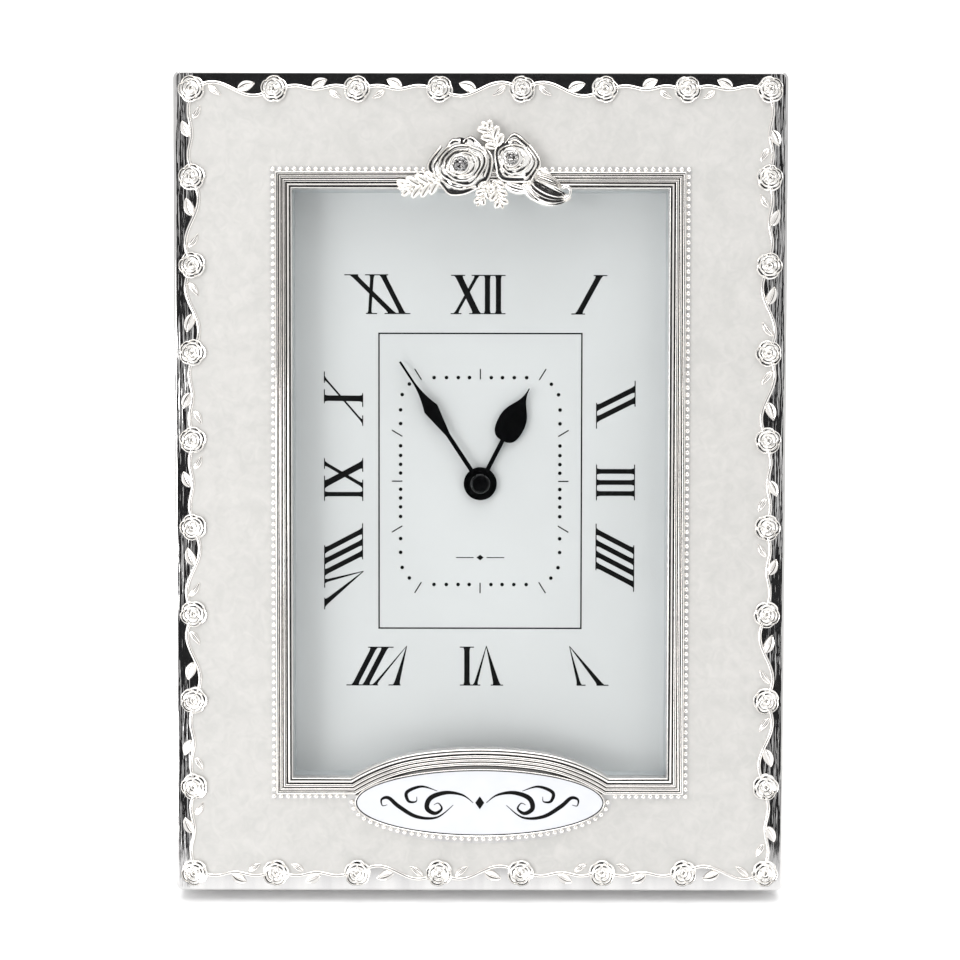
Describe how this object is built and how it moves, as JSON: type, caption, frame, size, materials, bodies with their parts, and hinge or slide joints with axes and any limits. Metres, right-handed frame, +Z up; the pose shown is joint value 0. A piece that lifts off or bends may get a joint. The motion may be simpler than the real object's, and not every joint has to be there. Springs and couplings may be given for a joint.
{
  "type": "photo frame clock",
  "caption": "Upright silvered picture-frame clock with a rose and vine border, rectangular dial, hands, quartz movement and folding easel strut.",
  "frame": {"origin": "on the ground, under the middle of the bounding box", "axes": "+X to the viewer's right across the face, +Y from the face towards the strut, +Z up"},
  "size_m": [0.149, 0.0612, 0.1969],
  "materials": {
    "silver_plate": "polished silver plate on a zinc casting, darkened in the recesses",
    "pearl_enamel": "swirled mother-of-pearl enamel, glossy",
    "plaque_enamel": "white enamel, glossy",
    "crystal": "cut clear crystal with a foiled back",
    "window_glass": "clear sheet glass",
    "grey_tray": "pale grey satin card and plastic",
    "dial_print": "matt coated card, printed",
    "black_velvet": "fibreboard covered in black flock",
    "strut_velvet": "fibreboard covered in black flock, wrapped edges",
    "nickel_steel": "nickel-plated steel sheet",
    "black_moulding": "black moulded plastic, fine texture",
    "gear_plastic": "natural moulded acetal",
    "brass_shaft": "turned brass",
    "magnet": "sintered magnet on a plastic pinion",
    "stator_iron": "stamped soft iron",
    "copper_wire": "enamelled copper wire",
    "bobbin_plastic": "natural nylon",
    "circuit_green": "green glass-fibre board",
    "chip_resin": "black sealing resin",
    "can_steel": "drawn steel can",
    "battery_jacket": "plain dark jacket with a pale band",
    "contact_steel": "nickel-plated spring steel",
    "rubber": "soft black rubber",
    "black_lacquer": "gloss black lacquer"
  },
  "bodies": {
    "frame": {"front_frame": "silver_plate", "enamel_field": "pearl_enamel", "window_moulding": "silver_plate", "bead_rows": "silver_plate", "border_roses": "silver_plate", "border_vine": "silver_plate", "plaque_rim": "silver_plate", "plaque_plate": "plaque_enamel", "applied_rose_left": "silver_plate", "applied_rose_right": "silver_plate", "applied_leaves": "silver_plate", "crystals": "crystal", "glass_pane": "window_glass", "dial_spacer": "grey_tray", "dial_card": "dial_print", "back_board": "black_velvet", "backing_frame": "black_velvet", "clip_screws": "nickel_steel", "hinge_board_leaf": "nickel_steel", "hinge_pin": "nickel_steel", "board_rivets": "nickel_steel", "movement_case": "black_moulding", "movement_cover": "black_moulding", "train_bridge": "gear_plastic", "stator": "stator_iron", "coil_bobbin": "bobbin_plastic", "coil_winding": "copper_wire", "circuit_board": "circuit_green", "clock_chip": "chip_resin", "quartz_resonator": "can_steel", "contact_positive": "contact_steel", "contact_negative": "contact_steel", "contact_spring": "contact_steel", "mounting_nut": "brass_shaft", "rubber_washer": "rubber"},
    "easel": {"easel_strut": "strut_velvet", "hinge_strut_leaf": "nickel_steel", "strut_rivets": "nickel_steel"},
    "minute_work": {"minute_work_wheel": "gear_plastic"},
    "minute": {"minute_arbor": "brass_shaft", "minute_hand": "black_lacquer", "hand_cap": "black_lacquer"},
    "hour": {"hour_wheel": "gear_plastic", "hour_hand": "black_lacquer"},
    "setting": {"setting_knob": "black_moulding"},
    "centre": {"centre_wheel": "gear_plastic"},
    "third": {"third_wheel": "gear_plastic"},
    "seconds": {"seconds_wheel": "gear_plastic"},
    "intermediate": {"intermediate_wheel": "gear_plastic"},
    "motor_rotor": {"rotor": "magnet"},
    "cell": {"battery": "battery_jacket"},
    "clip_left_low": {"turn_clip_left_low": "nickel_steel"},
    "clip_left_high": {"turn_clip_left_high": "nickel_steel"},
    "clip_right_low": {"turn_clip_right_low": "nickel_steel"},
    "clip_right_high": {"turn_clip_right_high": "nickel_steel"}
  },
  "joints": [
    {"name": "easel_hinge", "type": "hinge", "parent": "frame", "child": "easel", "pos_m": [0, -0.00046, 0.06165], "axis": [1, 0, 0], "range_deg": [-26.57, 0]},
    {"name": "minute_spin", "type": "hinge", "parent": "frame", "child": "minute", "pos_m": [0, 0.00776, 0.0965], "axis": [0, 0.9703, -0.2419], "continuous": true},
    {"name": "hour_spin", "type": "hinge", "parent": "frame", "child": "hour", "pos_m": [0, 0.00776, 0.0965], "axis": [0, 0.9703, -0.2419], "continuous": true},
    {"name": "minute_work_spin", "type": "hinge", "parent": "frame", "child": "minute_work", "pos_m": [0.01, 0.00776, 0.0965], "axis": [0, 0.9703, -0.2419], "continuous": true},
    {"name": "setting_spin", "type": "hinge", "parent": "frame", "child": "setting", "pos_m": [0.01525, 0.00996, 0.10532], "axis": [0, 0.9703, -0.2419], "continuous": true},
    {"name": "rotor_spin", "type": "hinge", "parent": "frame", "child": "motor_rotor", "pos_m": [0.00006, 0.01167, 0.11217], "axis": [0, 0.9703, -0.2419], "continuous": true},
    {"name": "intermediate_spin", "type": "hinge", "parent": "frame", "child": "intermediate", "pos_m": [0.0042, 0.00952, 0.10355], "axis": [0, 0.9703, -0.2419], "continuous": true},
    {"name": "seconds_spin", "type": "hinge", "parent": "frame", "child": "seconds", "pos_m": [0, 0.00776, 0.0965], "axis": [0, 0.9703, -0.2419], "continuous": true},
    {"name": "third_spin", "type": "hinge", "parent": "frame", "child": "third", "pos_m": [-0.00873, 0.00898, 0.10139], "axis": [0, 0.9703, -0.2419], "continuous": true},
    {"name": "centre_spin", "type": "hinge", "parent": "frame", "child": "centre", "pos_m": [0, 0.00776, 0.0965], "axis": [0, 0.9703, -0.2419], "continuous": true},
    {"name": "clip_left_low_turn", "type": "hinge", "parent": "frame", "child": "clip_left_low", "pos_m": [-0.0563, -0.00448, 0.05317], "axis": [0, 0.9703, -0.2419], "range_deg": [-90, 90]},
    {"name": "clip_left_high_turn", "type": "hinge", "parent": "frame", "child": "clip_left_high", "pos_m": [-0.0563, 0.01729, 0.1405], "axis": [0, 0.9703, -0.2419], "range_deg": [-90, 90]},
    {"name": "clip_right_low_turn", "type": "hinge", "parent": "frame", "child": "clip_right_low", "pos_m": [0.0563, -0.00448, 0.05317], "axis": [0, 0.9703, -0.2419], "range_deg": [-90, 90]},
    {"name": "clip_right_high_turn", "type": "hinge", "parent": "frame", "child": "clip_right_high", "pos_m": [0.0563, 0.01729, 0.1405], "axis": [0, 0.9703, -0.2419], "range_deg": [-90, 90]},
    {"name": "battery_out", "type": "slide", "parent": "frame", "child": "cell", "axis": [0, 0.9703, -0.2419], "range_m": [0, 0.018]}
  ],
  "couplings": [
    {"joint": "hour_spin", "follows": "minute_spin", "ratio": 0.083333},
    {"joint": "minute_work_spin", "follows": "minute_spin", "ratio": -0.33333},
    {"joint": "setting_spin", "follows": "minute_spin", "ratio": 0.83333},
    {"joint": "intermediate_spin", "follows": "rotor_spin", "ratio": -0.16667},
    {"joint": "seconds_spin", "follows": "rotor_spin", "ratio": 0.033333},
    {"joint": "third_spin", "follows": "rotor_spin", "ratio": -0.0041667},
    {"joint": "centre_spin", "follows": "rotor_spin", "ratio": 0.00055556}
  ]
}
